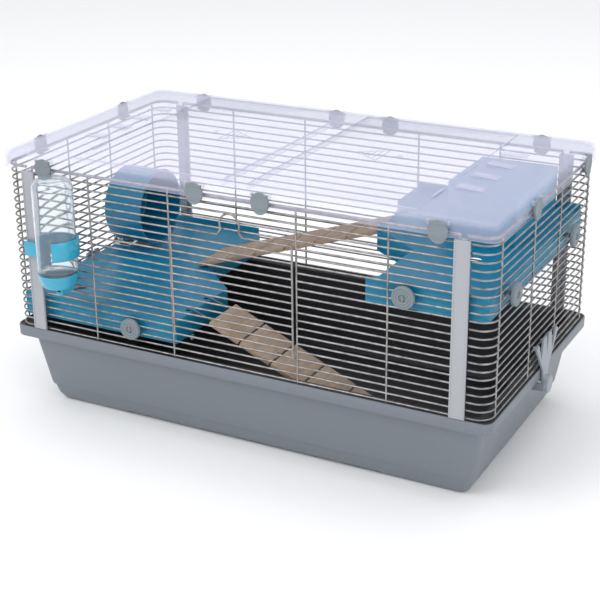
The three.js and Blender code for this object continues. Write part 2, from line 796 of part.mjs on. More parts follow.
add("left_shelf", "tealPlastic", leftShelf());
add("right_shelf", "tealPlastic", rightShelf());
[...leftKnobs, ...rightKnobs].forEach(({ name, wall, along, z }) => {
  const face = wall === "front" ? WALL_Y : WALL_X;
  add(name, "clipGrey", shelfKnob(z), onWall(wall, along, face));
});

add("lower_ramp", "wood", ladder(RAMP));
add("upper_bridge", "wood", ladder(BRIDGE));

add("wheel_drum", "tealPlastic", wheelDrum());
add("wheel_axle", "steel", wheelAxle());
add("wheel_stand", "clearPlastic", wheelStand());

add("hide_house", "tealPlastic", hideHouse());

add("bottle_body", "clearPlastic", bottleBody());
add("bottle_cap", "tealPlastic", bottleCap());
add("bottle_spout", "steel", bottleSpout());
add("bottle_holder", "tealPlastic", bottleHolder());

export default cage;
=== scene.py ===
"""Looks of a two-storey hamster cage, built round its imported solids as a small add-on."""

import math

import bpy
from bpy.props import FloatProperty, FloatVectorProperty, PointerProperty
from mathutils import Matrix, Vector


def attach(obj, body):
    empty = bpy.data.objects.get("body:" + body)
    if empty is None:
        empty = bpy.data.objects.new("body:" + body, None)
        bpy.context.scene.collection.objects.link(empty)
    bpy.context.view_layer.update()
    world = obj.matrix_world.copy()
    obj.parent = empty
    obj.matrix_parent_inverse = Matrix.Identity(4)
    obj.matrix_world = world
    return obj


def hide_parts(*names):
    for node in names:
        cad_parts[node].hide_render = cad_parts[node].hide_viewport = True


bl_info = {
    "name": "Hamster Cage",
    "version": (1, 0, 0),
    "blender": (4, 5, 0),
    "location": "3D View > Sidebar > Hamster Cage",
    "description": "Models the visible pieces of a hamster cage round its solids",
    "category": "Object",
}

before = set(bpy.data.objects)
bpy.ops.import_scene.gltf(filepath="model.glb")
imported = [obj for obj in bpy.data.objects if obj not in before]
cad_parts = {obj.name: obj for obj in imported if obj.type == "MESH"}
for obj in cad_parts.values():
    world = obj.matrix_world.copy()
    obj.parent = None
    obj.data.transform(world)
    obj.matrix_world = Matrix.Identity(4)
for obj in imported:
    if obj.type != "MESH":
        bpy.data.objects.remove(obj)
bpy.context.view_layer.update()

MM = 0.001
FIRST_ROW = 118 * MM  # height of the lowest level wire
PITCH = 10 * MM
ROWS = 22
RAIL_Z = 337 * MM
WALL_X = 330 * MM
WALL_Y = 179 * MM
WIRE_CORNER = 18 * MM
HINGE_Z = 148 * MM  # level wire that the door hangs on
DOOR_Y = -182.8 * MM
ROOF_X = 333.8  # half length and half width of the roof, in millimetres
ROOF_Y = 183.2
CLIP_PIVOT_Z = 349
LID_HINGE_X = 232
LID_HINGE_Z = 354.4
KNUCKLE_Y = (-110, 110)
TREADS = 24  # inside the wheel
CLIPS = {
    "front_clip_1": ("front", -265), "front_clip_2": ("front", -45),
    "front_clip_3": ("front", 44), "front_clip_4": ("front", 265),
    "back_clip_1": ("back", -257), "back_clip_2": ("back", -41),
    "back_clip_3": ("back", 41), "back_clip_4": ("back", 257),
    "left_clip_1": ("left", -96), "left_clip_2": ("left", 96),
    "right_clip_1": ("right", -66), "right_clip_2": ("right", 126),
}
KNOBS = {
    "left_shelf_front_knob": ("front", -150, 143),
    "left_shelf_end_knob_1": ("left", -100, 143),
    "left_shelf_end_knob_2": ("left", 117, 143),
    "right_shelf_front_knob": ("front", 224, 253),
    "right_shelf_end_knob_1": ("right", -117, 253),
    "right_shelf_end_knob_2": ("right", 100, 253),
}
WALL_TURN = {"front": 0, "right": 90, "back": 180, "left": -90}
WHEEL = Vector((-255, 57, 218.4)) * MM
BOTTLE = Vector((-235.5, -210, 0)) * MM
RAMP = {
    "x": -57, "z": 155.3, "slope": -24.5, "y": -109.5, "width": 66, "planks": 7, "hook": (-97, 161.4)
}
BRIDGE = {
    "x": 106, "z": 256, "slope": 18.45, "y": 40, "width": 70, "planks": 6, "hook": (121, 266.4)
}


# ---- modelling helpers ---------------------------------------------------------------------


def clear_selection():
    if bpy.context.object and bpy.context.object.mode != "OBJECT":
        bpy.ops.object.mode_set(mode="OBJECT")
    bpy.ops.object.select_all(action="DESELECT")


def take(piece):
    """Makes the piece the only one selected."""
    clear_selection()
    piece.select_set(True)
    bpy.context.view_layer.objects.active = piece


def settle(piece):
    """Moves the object's place, turn and size into its mesh."""
    take(piece)
    bpy.ops.object.transform_apply(location=True, rotation=True, scale=True)


def apply_modifier(piece, kind, **settings):
    modifier = piece.modifiers.new(kind.title(), kind)
    for key, value in settings.items():
        setattr(modifier, key, value)
    take(piece)
    bpy.ops.object.modifier_apply(modifier=modifier.name)


def bevel(piece, width, segments=2, angle=30):
    apply_modifier(
        piece, "BEVEL", width=width, segments=segments, limit_method="ANGLE",
        angle_limit=math.radians(angle), harden_normals=False,
    )


def clean(piece, distance=1e-6):
    take(piece)
    bpy.ops.object.mode_set(mode="EDIT")
    bpy.ops.mesh.select_all(action="SELECT")
    bpy.ops.mesh.remove_doubles(threshold=distance)
    bpy.ops.mesh.normals_make_consistent(inside=False)
    bpy.ops.object.mode_set(mode="OBJECT")


def block(low, high, round_by=0.0):
    """A box between two corners in millimetres, with its edges rounded."""
    low, high = Vector(low) * MM, Vector(high) * MM
    clear_selection()
    bpy.ops.mesh.primitive_cube_add(size=1, location=(low + high) / 2)
    piece = bpy.context.object
    piece.scale = high - low
    settle(piece)
    if round_by:
        bevel(piece, round_by * MM)
    return piece


def bar(start, end, radius, sides=10):
    """A round bar between two points in metres."""
    start, end = Vector(start), Vector(end)
    clear_selection()
    bpy.ops.mesh.primitive_cylinder_add(
        vertices=sides, radius=radius, depth=(end - start).length, location=(start + end) / 2
    )
    piece = bpy.context.object
    piece.rotation_mode = "QUATERNION"
    piece.rotation_quaternion = (end - start).to_track_quat("Z", "Y")
    settle(piece)
    return piece


def wire_path(points, radius, resolution=1, closed=False):
    """A bent round wire through points in metres."""
    curve = bpy.data.curves.new("wire", "CURVE")
    curve.dimensions = "3D"
    curve.bevel_depth = radius
    curve.bevel_resolution = resolution
    curve.use_fill_caps = not closed
    line = curve.splines.new("POLY")
    line.points.add(len(points) - 1)
    line.use_cyclic_u = closed
    for point, place in zip(line.points, points):
        point.co = (*place, 1)
    piece = bpy.data.objects.new("wire", curve)
    bpy.context.collection.objects.link(piece)
    take(piece)
    bpy.ops.object.convert(target="MESH")
    return bpy.context.object


def joined(pieces):
    clear_selection()
    for piece in pieces:
        piece.select_set(True)
    bpy.context.view_layer.objects.active = pieces[0]
    bpy.ops.object.join()
    return bpy.context.object


def cut_away(piece, cutters):
    for cutter in cutters:
        apply_modifier(piece, "BOOLEAN", operation="DIFFERENCE", object=cutter, solver="EXACT")
        bpy.data.objects.remove(cutter)
    return piece


def turned(profile, axis_start, axis, steps=64):
    """A lathed piece: the profile's (radius, height) points in millimetres, spun round an axis."""
    clear_selection()
    bpy.ops.mesh.primitive_plane_add(size=0.01)
    piece = bpy.context.object
    bpy.ops.object.mode_set(mode="EDIT")
    bpy.ops.mesh.select_all(action="SELECT")
    bpy.ops.mesh.merge(type="CENTER")
    points = [Vector((r * MM, 0, h * MM)) for r, h in profile]
    bpy.ops.transform.translate(value=points[0])
    for before, after in zip(points, points[1:]):
        bpy.ops.mesh.extrude_region_move(TRANSFORM_OT_translate={"value": after - before})
    bpy.ops.mesh.select_all(action="SELECT")
    bpy.ops.mesh.spin(steps=steps, angle=math.tau, center=(0, 0, 0), axis=(0, 0, 1))
    bpy.ops.mesh.select_all(action="SELECT")
    bpy.ops.mesh.remove_doubles(threshold=1e-6)
    bpy.ops.mesh.normals_make_consistent(inside=False)
    bpy.ops.object.mode_set(mode="OBJECT")
    piece.rotation_mode = "QUATERNION"
    piece.rotation_quaternion = Vector(axis).to_track_quat("Z", "Y")
    piece.location = axis_start
    settle(piece)
    return piece


def lofted(levels, segments=8):
    """A closed shell through level rounded rectangles (half x, half y, height), in millimetres.

    The first level also gives the corner radius, as its fourth number.
    """
    half_x, half_y, z, radius = levels[0]
    clear_selection()
    bpy.ops.mesh.primitive_plane_add(size=1, location=(0, 0, z * MM))
    piece = bpy.context.object
    piece.scale = (2 * half_x * MM, 2 * half_y * MM, 1)
    settle(piece)
    bpy.ops.object.mode_set(mode="EDIT")
    bpy.ops.mesh.select_all(action="SELECT")
    bpy.ops.mesh.bevel(offset=radius * MM, segments=segments, affect="VERTICES")
    bpy.ops.mesh.select_all(action="SELECT")
    for next_x, next_y, next_z in levels[1:]:
        bpy.ops.mesh.extrude_region_move(
            TRANSFORM_OT_translate={"value": (0, 0, (next_z - z) * MM)}
        )
        bpy.ops.transform.resize(
            value=(next_x / half_x, next_y / half_y, 1), center_override=(0, 0, next_z * MM)
        )
        half_x, half_y, z = next_x, next_y, next_z
    bpy.ops.object.mode_set(mode="OBJECT")
    clean(piece)
    return piece


def slab(outline, low, high):
    """A flat plate from an outline in millimetres, seen from above, between two heights."""
    clear_selection()
    bpy.ops.mesh.primitive_circle_add(
        vertices=len(outline), radius=1, fill_type="NGON", location=(0, 0, 0)
    )
    piece = bpy.context.object
    for vertex, (x, y) in zip(piece.data.vertices, outline):
        vertex.co = (x * MM, y * MM, low * MM)
    bpy.ops.object.mode_set(mode="EDIT")
    bpy.ops.mesh.select_all(action="SELECT")
    bpy.ops.mesh.extrude_region_move(
        TRANSFORM_OT_translate={"value": (0, 0, (high - low) * MM)}
    )
    bpy.ops.object.mode_set(mode="OBJECT")
    clean(piece)
    return piece


def softened_copy(node, width, segments=2):
    """A copy of a CAD node with its flat faces made whole and its edges rounded."""
    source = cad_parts[node]
    piece = bpy.data.objects.new(node + "_look", source.data.copy())
    bpy.context.collection.objects.link(piece)
    piece.data.materials.clear()
    clean(piece, 1e-5)
    bpy.ops.object.mode_set(mode="EDIT")
    bpy.ops.mesh.select_all(action="SELECT")
    bpy.ops.mesh.dissolve_limited(angle_limit=math.radians(0.5))
    bpy.ops.object.mode_set(mode="OBJECT")
    if width:
        bevel(piece, width * MM, segments)
    return piece


def copied(piece):
    twin = piece.copy()
    twin.data = piece.data.copy()
    bpy.context.collection.objects.link(twin)
    return twin


def placed_on_wall(piece, wall, along, distance):
    """Turns a piece made for the front wall to another wall and moves it along and outwards."""
    turn = math.radians(WALL_TURN[wall])
    out = Vector((math.sin(turn), -math.cos(turn), 0))
    side = Vector((1, 0, 0)) if wall in ("front", "back") else Vector((0, 1, 0))
    piece.matrix_world = Matrix.Translation(
        side * along * MM + out * distance * MM
    ) @ Matrix.Rotation(turn, 4, "Z")
    settle(piece)
    return piece


def finish_piece(piece, name, body, material, replaced=(), angle=35):
    """Names, shades and paints a finished piece and ties it to its body."""
    piece.name = name
    piece.data.name = name
    take(piece)
    bpy.ops.object.shade_smooth_by_angle(angle=math.radians(angle))
    piece.data.materials.clear()
    piece.data.materials.append(material)
    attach(piece, body)
    if replaced:
        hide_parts(*replaced)
    return piece


# ---- materials -----------------------------------------------------------------------------


def add_socket(group, name, kind, way, default=None):
    socket = group.interface.new_socket(name=name, in_out=way, socket_type=kind)
    if default is not None:
        socket.default_value = default


def moulded_surface():
    """Colour drift, scuffed gloss and fine grain of moulded plastic, used by every plastic."""
    name = "Moulded surface"
    if name in bpy.data.node_groups:
        return bpy.data.node_groups[name]
    group = bpy.data.node_groups.new(name, "ShaderNodeTree")
    add_socket(group, "Colour", "NodeSocketColor", "INPUT", (0.5, 0.5, 0.5, 1))
    add_socket(group, "Drift", "NodeSocketFloat", "INPUT", 0.1)
    add_socket(group, "Gloss", "NodeSocketFloat", "INPUT", 0.4)
    add_socket(group, "Scuffs", "NodeSocketFloat", "INPUT", 0.1)
    add_socket(group, "Grain size", "NodeSocketFloat", "INPUT", 900)
    add_socket(group, "Grain depth", "NodeSocketFloat", "INPUT", 0.1)
    add_socket(group, "Colour", "NodeSocketColor", "OUTPUT")
    add_socket(group, "Roughness", "NodeSocketFloat", "OUTPUT")
    add_socket(group, "Normal", "NodeSocketVector", "OUTPUT")
    nodes, links = group.nodes, group.links
    inputs = nodes.new("NodeGroupInput")
    outputs = nodes.new("NodeGroupOutput")
    place = nodes.new("ShaderNodeTexCoord")
    clouds = nodes.new("ShaderNodeTexNoise")
    clouds.inputs["Scale"].default_value = 14
    clouds.inputs["Detail"].default_value = 3
    shift = nodes.new("ShaderNodeMath")
    shift.operation = "SUBTRACT"
    shift.inputs[1].default_value = 0.5
    amount = nodes.new("ShaderNodeMath")
    amount.operation = "MULTIPLY_ADD"
    amount.inputs[2].default_value = 1
    tint = nodes.new("ShaderNodeHueSaturation")
    scuff = nodes.new("ShaderNodeTexNoise")
    scuff.inputs["Scale"].default_value = 60
    scuff.inputs["Detail"].default_value = 6
    scuffed = nodes.new("ShaderNodeMath")
    scuffed.operation = "MULTIPLY_ADD"
    grain = nodes.new("ShaderNodeTexNoise")
    grain.inputs["Detail"].default_value = 2
    bump = nodes.new("ShaderNodeBump")
    bump.inputs["Distance"].default_value = 0.0004
    for texture in (clouds, scuff, grain):
        links.new(place.outputs["Object"], texture.inputs["Vector"])
    links.new(clouds.outputs["Fac"], shift.inputs[0])
    links.new(shift.outputs[0], amount.inputs[0])
    links.new(inputs.outputs["Drift"], amount.inputs[1])
    links.new(inputs.outputs["Colour"], tint.inputs["Color"])
    links.new(amount.outputs[0], tint.inputs["Value"])
    links.new(scuff.outputs["Fac"], scuffed.inputs[0])
    links.new(inputs.outputs["Scuffs"], scuffed.inputs[1])
    links.new(inputs.outputs["Gloss"], scuffed.inputs[2])
    links.new(inputs.outputs["Grain size"], grain.inputs["Scale"])
    links.new(grain.outputs["Fac"], bump.inputs["Height"])
    links.new(inputs.outputs["Grain depth"], bump.inputs["Strength"])
    links.new(tint.outputs["Color"], outputs.inputs["Colour"])
    links.new(scuffed.outputs[0], outputs.inputs["Roughness"])
    links.new(bump.outputs["Normal"], outputs.inputs["Normal"])
    return group


def new_material(name):
    material = bpy.data.materials.new(name)
    material.use_nodes = True
    return material, material.node_tree.nodes, material.node_tree.links


def plastic(name, colour, gloss, drift=0.1, scuffs=0.12, grain=(900, 0.1), coat=0.0, alpha=1.0):
    if name in bpy.data.materials:
        return bpy.data.materials[name]
    material, nodes, links = new_material(name)
    shader = nodes["Principled BSDF"]
    surface = nodes.new("ShaderNodeGroup")
    surface.node_tree = moulded_surface()
    surface.inputs["Colour"].default_value = (*colour, 1)
    surface.inputs["Drift"].default_value = drift
    surface.inputs["Gloss"].default_value = gloss
    surface.inputs["Scuffs"].default_value = scuffs
    surface.inputs["Grain size"].default_value = grain[0]
    surface.inputs["Grain depth"].default_value = grain[1]
    links.new(surface.outputs["Colour"], shader.inputs["Base Color"])
    links.new(surface.outputs["Roughness"], shader.inputs["Roughness"])
    links.new(surface.outputs["Normal"], shader.inputs["Normal"])
    shader.inputs["Coat Weight"].default_value = coat
    shader.inputs["Coat Roughness"].default_value = 0.08
    shader.inputs["Alpha"].default_value = alpha
    return material


def clear_roof_plastic():
    """Clear moulding: hazy where it lies flat, clearer where it stands as a skirt."""
    name = "Clear roof"
    if name in bpy.data.materials:
        return bpy.data.materials[name]
    material = plastic(
        name, (0.66, 0.66, 0.82), gloss=0.08, drift=0.03, scuffs=0.08, grain=(300, 0.03)
    )
    nodes, links = material.node_tree.nodes, material.node_tree.links
    shader = nodes["Principled BSDF"]
    facing = nodes.new("ShaderNodeNewGeometry")
    split = nodes.new("ShaderNodeSeparateXYZ")
    level = nodes.new("ShaderNodeMath")
    level.operation = "ABSOLUTE"
    haze = nodes.new("ShaderNodeMapRange")
    haze.inputs["To Min"].default_value = 0.18
    haze.inputs["To Max"].default_value = 0.38
    links.new(facing.outputs["Normal"], split.inputs[0])
    links.new(split.outputs["Z"], level.inputs[0])
    links.new(level.outputs[0], haze.inputs["Value"])
    links.new(haze.outputs["Result"], shader.inputs["Alpha"])
    return material


def clear_plastic(name, tint, weight=0.95):
    if name in bpy.data.materials:
        return bpy.data.materials[name]
    material = plastic(name, tint, gloss=0.03, drift=0.02, scuffs=0.05, grain=(200, 0.02))
    shader = material.node_tree.nodes["Principled BSDF"]
    shader.inputs["Transmission Weight"].default_value = weight
    shader.inputs["IOR"].default_value = 1.35
    return material


def wire_metal():
    name = "Plated wire"
    if name in bpy.data.materials:
        return bpy.data.materials[name]
    material, nodes, links = new_material(name)
    shader = nodes["Principled BSDF"]
    place = nodes.new("ShaderNodeTexCoord")
    spots = nodes.new("ShaderNodeTexNoise")
    spots.inputs["Scale"].default_value = 120
    spots.inputs["Detail"].default_value = 4
    shade = nodes.new("ShaderNodeValToRGB")
    shade.color_ramp.elements[0].position = 0.3
    shade.color_ramp.elements[0].color = (0.20, 0.19, 0.185, 1)
    shade.color_ramp.elements[1].position = 0.7
    shade.color_ramp.elements[1].color = (0.42, 0.40, 0.39, 1)
    gloss = nodes.new("ShaderNodeMapRange")
    gloss.inputs["To Min"].default_value = 0.22
    gloss.inputs["To Max"].default_value = 0.42
    links.new(place.outputs["Object"], spots.inputs["Vector"])
    links.new(spots.outputs["Fac"], shade.inputs["Fac"])
    links.new(spots.outputs["Fac"], gloss.inputs["Value"])
    links.new(shade.outputs["Color"], shader.inputs["Base Color"])
    links.new(gloss.outputs["Result"], shader.inputs["Roughness"])
    shader.inputs["Metallic"].default_value = 0.9
    return material


def bare_wood(name, slope):
    """Pale planed wood with its grain across the ladder and a few darker boards."""
    if name in bpy.data.materials:
        return bpy.data.materials[name]
    material, nodes, links = new_material(name)
    shader = nodes["Principled BSDF"]
    place = nodes.new("ShaderNodeTexCoord")
    lie = nodes.new("ShaderNodeMapping")
    lie.inputs["Rotation"].default_value = (0, math.radians(slope), 0)
    lie.inputs["Scale"].default_value = (1, 0.12, 1)
    grain = nodes.new("ShaderNodeTexNoise")
    grain.inputs["Scale"].default_value = 260
    grain.inputs["Detail"].default_value = 6
    grain.inputs["Distortion"].default_value = 0.6
    boards = nodes.new("ShaderNodeTexNoise")
    boards.inputs["Scale"].default_value = 22
    mixed = nodes.new("ShaderNodeMath")
    mixed.operation = "MULTIPLY_ADD"
    mixed.inputs[1].default_value = 0.55
    shade = nodes.new("ShaderNodeValToRGB")
    shade.color_ramp.elements[0].position = 0.35
    shade.color_ramp.elements[0].color = (0.36, 0.25, 0.17, 1)
    shade.color_ramp.elements[1].position = 0.95
    shade.color_ramp.elements[1].color = (0.66, 0.51, 0.39, 1)
    half = nodes.new("ShaderNodeMath")
    half.operation = "MULTIPLY"
    half.inputs[1].default_value = 0.5
    rough = nodes.new("ShaderNodeMapRange")
    rough.inputs["To Min"].default_value = 0.62
    rough.inputs["To Max"].default_value = 0.85
    bump = nodes.new("ShaderNodeBump")
    bump.inputs["Strength"].default_value = 0.35
    bump.inputs["Distance"].default_value = 0.0005
    links.new(place.outputs["Object"], lie.inputs["Vector"])
    links.new(lie.outputs["Vector"], grain.inputs["Vector"])
    links.new(place.outputs["Object"], boards.inputs["Vector"])
    links.new(boards.outputs["Fac"], half.inputs[0])
    links.new(grain.outputs["Fac"], mixed.inputs[0])
    links.new(half.outputs[0], mixed.inputs[2])
    links.new(mixed.outputs[0], shade.inputs["Fac"])
    links.new(grain.outputs["Fac"], rough.inputs["Value"])
    links.new(grain.outputs["Fac"], bump.inputs["Height"])
    links.new(shade.outputs["Color"], shader.inputs["Base Color"])
    links.new(rough.outputs["Result"], shader.inputs["Roughness"])
    links.new(bump.outputs["Normal"], shader.inputs["Normal"])
    return material


def colours():
    return bpy.context.scene.cage_colours


def pale_grey():
    return plastic("Pale grey plastic", colours().post, gloss=0.42)


def clip_grey():
    return plastic("Clip grey plastic", colours().clip, gloss=0.45)


def shelf_teal():
    return plastic(
        "Shelf teal plastic", colours().shelf, gloss=0.34, drift=0.25, scuffs=0.15, coat=0.08
    )


def fitting_blue():
    return plastic("Fitting blue plastic", colours().fitting, gloss=0.2, coat=0.4)


# ---- settings ------------------------------------------------------------------------------


def colour_setting(name, description, default):
    return FloatVectorProperty(
        name=name, description=description, default=default, subtype="COLOR", min=0, max=1
    )


class CageSizes(bpy.types.PropertyGroup):
    wire: FloatProperty(
        name="Wire", description="Diameter of the wires", default=0.0024, unit="LENGTH"
    )
    frame_wire: FloatProperty(
        name="Frame wire", description="Diameter of the top rail", default=0.0038, unit="LENGTH"
    )
    plank: FloatProperty(
        name="Plank", description="Length of one ladder plank along the ladder",
        default=0.0458, unit="LENGTH",
    )
    plank_step: FloatProperty(
        name="Plank step", description="Distance from plank to plank", default=0.048,
        unit="LENGTH",
    )
    plank_thickness: FloatProperty(
        name="Plank thickness", description="Thickness of a plank", default=0.0055,
        unit="LENGTH",
    )


class CageColours(bpy.types.PropertyGroup):
    tray: colour_setting("Tray", "Outer tray", (0.172, 0.194, 0.222))
    liner: colour_setting("Liner", "Dark inner tray", (0.028, 0.029, 0.034))
    post: colour_setting("Posts", "Corner posts and latches", (0.38, 0.39, 0.42))
    clip: colour_setting("Clips", "Roof clips and shelf knobs", (0.20, 0.235, 0.26))
    shelf: colour_setting("Shelves", "Shelves", (0.001, 0.225, 0.385))
    wheel: colour_setting("Wheel", "Running wheel", (0.001, 0.20, 0.35))
    fitting: colour_setting("Bottle fittings", "Bottle cap and holder", (0.03, 0.36, 0.53))
    hide: colour_setting("Hide", "Sleeping house", (0.004, 0.26, 0.45))


# ---- tray ----------------------------------------------------------------------------------


class CAGE_OT_tray(bpy.types.Operator):
    """Model the grey outer tray with its rim, feet and latch lugs"""

    bl_idname = "cage.tray"
    bl_label = "Tray"

    def execute(self, context):
        tub = lofted(
            [
                (289, 142, 0, 10), (293.2, 146.2, 1.2), (295.4, 148.4, 3.2), (299.6, 152.6, 10),
                (303, 156, 22.6), (303.3, 156.3, 24), (305.2, 158.2, 25), (305.7, 158.7, 26.4),
                (318.6, 171.6, 107), (319.2, 172.2, 108.5), (320.5, 173.5, 108.9),
                (331, 180, 108.9), (332, 181, 107.5), (332.2, 181.2, 101.6),
                (332.8, 181.8, 101), (333.6, 182.6, 101.1), (334.2, 183.2, 102),
                (334.5, 183.5, 114.6), (334.2, 183.2, 115.6), (333.5, 182.5, 116),
                (333, 182, 115.9), (332.7, 181.7, 115.4), (332.7, 181.7, 113),
                (316.6, 169.6, 113), (303, 156, 26.5), (297.2, 150.2, 11), (294.6, 147.6, 6.6),
            ]
        )
        recesses = [block((-186, -160, -1), (186, 160, 4.4)), block((-310, -20, -1), (310, 20, 4.4))]
        cut_away(tub, recesses)
        pad = block((-45, -30, 0), (45, 30, 5), 1.2)
        lugs = [
            block(
                (side * 328.5 - 12.5, end * 14 - 1.5, 88),
                (side * 328.5 + 12.5, end * 14 + 1.5, 98), 0.6,
            )
            for side in (-1, 1)
            for end in (-1, 1)
        ]
        tray = joined([tub, pad, *lugs])
        finish_piece(
            tray, "tray_look", "base",
            plastic("Tray grey plastic", colours().tray, gloss=0.36, drift=0.08, grain=(700, 0.16)),
            ["base_tray"],
        )
        return {"FINISHED"}


class CAGE_OT_liner(bpy.types.Operator):
    """Model the dark inner tray that holds the bedding"""

    bl_idname = "cage.liner"
    bl_label = "Liner"

    def execute(self, context):
        liner = lofted(
            [
                (294, 147, 6.9, 10), (296.6, 149.6, 11.3), (302.4, 155.4, 26.8),
                (316.1, 169.1, 113.3), (331.8, 180.8, 113.3), (332.2, 181.2, 113.7),
                (332.2, 181.2, 114.5), (331.8, 180.8, 114.9), (315.4, 168.4, 114.9),
                (314.6, 167.6, 114.5), (314.3, 167.3, 113.5), (300.8, 153.8, 27),
                (298.2, 151.2, 18), (295.6, 148.6, 12), (292.6, 145.6, 8.6),
            ]
        )
        finish_piece(
            liner, "liner_look", "base",
            plastic("Liner dark plastic", colours().liner, gloss=0.5, grain=(600, 0.2)),
            ["litter_liner"],
        )
        return {"FINISHED"}


# ---- wire walls ----------------------------------------------------------------------------


def stacked(piece, count):
    apply_modifier(
        piece, "ARRAY", count=count, use_relative_offset=False, use_constant_offset=True,
        constant_offset_displace=(0, 0, PITCH),
    )
    return piece


def bent_row(side, z, radius):
    """One level wire of an end: straight along the end and bent round both corners."""
    points = []
    centre = Vector((side * (WALL_X - WIRE_CORNER), WALL_Y - WIRE_CORNER, z))
    for i in range(7):
        turn = math.radians(90 - 15 * i)
        points.append(
            centre + Vector((side * math.sin(math.pi / 2 - turn), math.cos(math.pi / 2 - turn), 0))
            * WIRE_CORNER
        )
    points.insert(0, Vector((side * 0.2972, WALL_Y, z)))
    mirrored = [Vector((p.x, -p.y, p.z)) for p in reversed(points)]
    return wire_path(points + mirrored, radius)


class CAGE_OT_wire_walls(bpy.types.Operator):
    """Model the four welded walls of round wire"""

    bl_idname = "cage.wire_walls"
    bl_label = "Wire walls"

    def execute(self, context):
        radius = context.scene.cage_sizes.wire / 2
        rail = context.scene.cage_sizes.frame_wire / 2
        for name, y in (("front", -WALL_Y), ("back", WALL_Y)):
            self.flat_wall(name, y, radius, rail)
        for name, side in (("left", -1), ("right", 1)):
            self.end_wall(name, side, radius, rail)
        return {"FINISHED"}

    def flat_wall(self, name, y, radius, rail):
        reach = 289 * MM
        pieces = [bar((-reach, y, RAIL_Z), (reach, y, RAIL_Z), rail, 12)]
        outward = math.copysign(0.6 * MM, y)
        for x in (-288, -203.5, -87, 87, 203.5, 288):
            foot, head = (x * MM, y + outward, 116.9 * MM), (x * MM, y + outward, RAIL_Z)
            pieces.append(bar(foot, head, radius))
        if name == "back":
            row = bar((-reach, y, FIRST_ROW), (reach, y, FIRST_ROW), radius)
            pieces.append(stacked(row, ROWS))
        else:
            lower = bar((-reach, y, FIRST_ROW), (reach, y, FIRST_ROW), radius)
            upper = bar((-reach, y, HINGE_Z + 15 * PITCH), (reach, y, HINGE_Z + 15 * PITCH), radius)
            pieces += [stacked(lower, 4), stacked(upper, 4)]
            for end in (-1, 1):
                z = HINGE_Z + PITCH
                side = bar((end * 86.5 * MM, y, z), (end * reach, y, z), radius)
                pieces.append(stacked(side, 14))
        finish_piece(
            joined(pieces), name + "_wires", "wire_top", wire_metal(),
            [name + "_grille"], 60,
        )

    def end_wall(self, name, side, radius, rail):
        pieces = [stacked(bent_row(side, FIRST_ROW, radius), ROWS), bent_row(side, RAIL_Z, rail)]
        x = side * WALL_X
        for y in (-159, -48, 48, 159):
            pieces.append(bar((x, y * MM, 116.9 * MM), (x, y * MM, RAIL_Z), radius))
        finish_piece(
            joined(pieces), name + "_wires", "wire_top", wire_metal(),
            [name + "_grille"], 60,
        )


class CAGE_OT_door(bpy.types.Operator):
    """Model the front door with its hinge eyes and finger loop"""

    bl_idname = "cage.door"
    bl_label = "Front door"

    def execute(self, context):
        radius = context.scene.cage_sizes.wire / 2
        first = HINGE_Z + 2.3 * MM
        top = 291.4 * MM
        half = 83 * MM
        row = bar((-half, DOOR_Y, first), (half, DOOR_Y, first), radius)
        pieces = [stacked(row, 14)]
        for x in (-half, half):
            pieces.append(bar((x, DOOR_Y, first - radius), (x, DOOR_Y, top), radius * 1.15))
        loop = [Vector((-half, DOOR_Y, top)), Vector((-17 * MM, DOOR_Y, top))]
        for i in range(-2, 15):
            turn = math.radians(180 - 15 * i)
            loop.append(
                Vector((13.5 * MM * math.cos(turn), DOOR_Y, 305.6 * MM + 13 * MM * math.sin(turn)))
            )
        loop += [Vector((17 * MM, DOOR_Y, top)), Vector((half, DOOR_Y, top))]
        pieces.append(wire_path(loop, radius, 2))
        for x in (-60 * MM, 60 * MM):
            eye = [
                Vector(
                    (x, -WALL_Y + 3.1 * MM * math.cos(t), HINGE_Z + 3.1 * MM * math.sin(t))
                )
                for t in (math.tau * i / 16 for i in range(16))
            ]
            pieces.append(wire_path(eye, 0.8 * MM, 1, closed=True))
            pieces.append(
                bar((x, -WALL_Y - 3 * MM, HINGE_Z + 0.6 * MM), (x, DOOR_Y, first), 0.8 * MM)
            )
        finish_piece(
            joined(pieces), "door_wires", "front_door", wire_metal(),
            ["front_door"], 60,
        )
        return {"FINISHED"}


class CAGE_OT_posts(bpy.types.Operator):
    """Model the four corner posts that cover the seams of the wire walls"""

    bl_idname = "cage.posts"
    bl_label = "Corner posts"

    def execute(self, context):
        for wall in ("front", "back"):
            for side in ("left", "right"):
                name = f"{wall}_{side}_post"
                finish_piece(
                    softened_copy(name, 0.45), name + "_look", "wire_top",
                    pale_grey(), [name],
                )
        return {"FINISHED"}


# ---- roof ----------------------------------------------------------------------------------


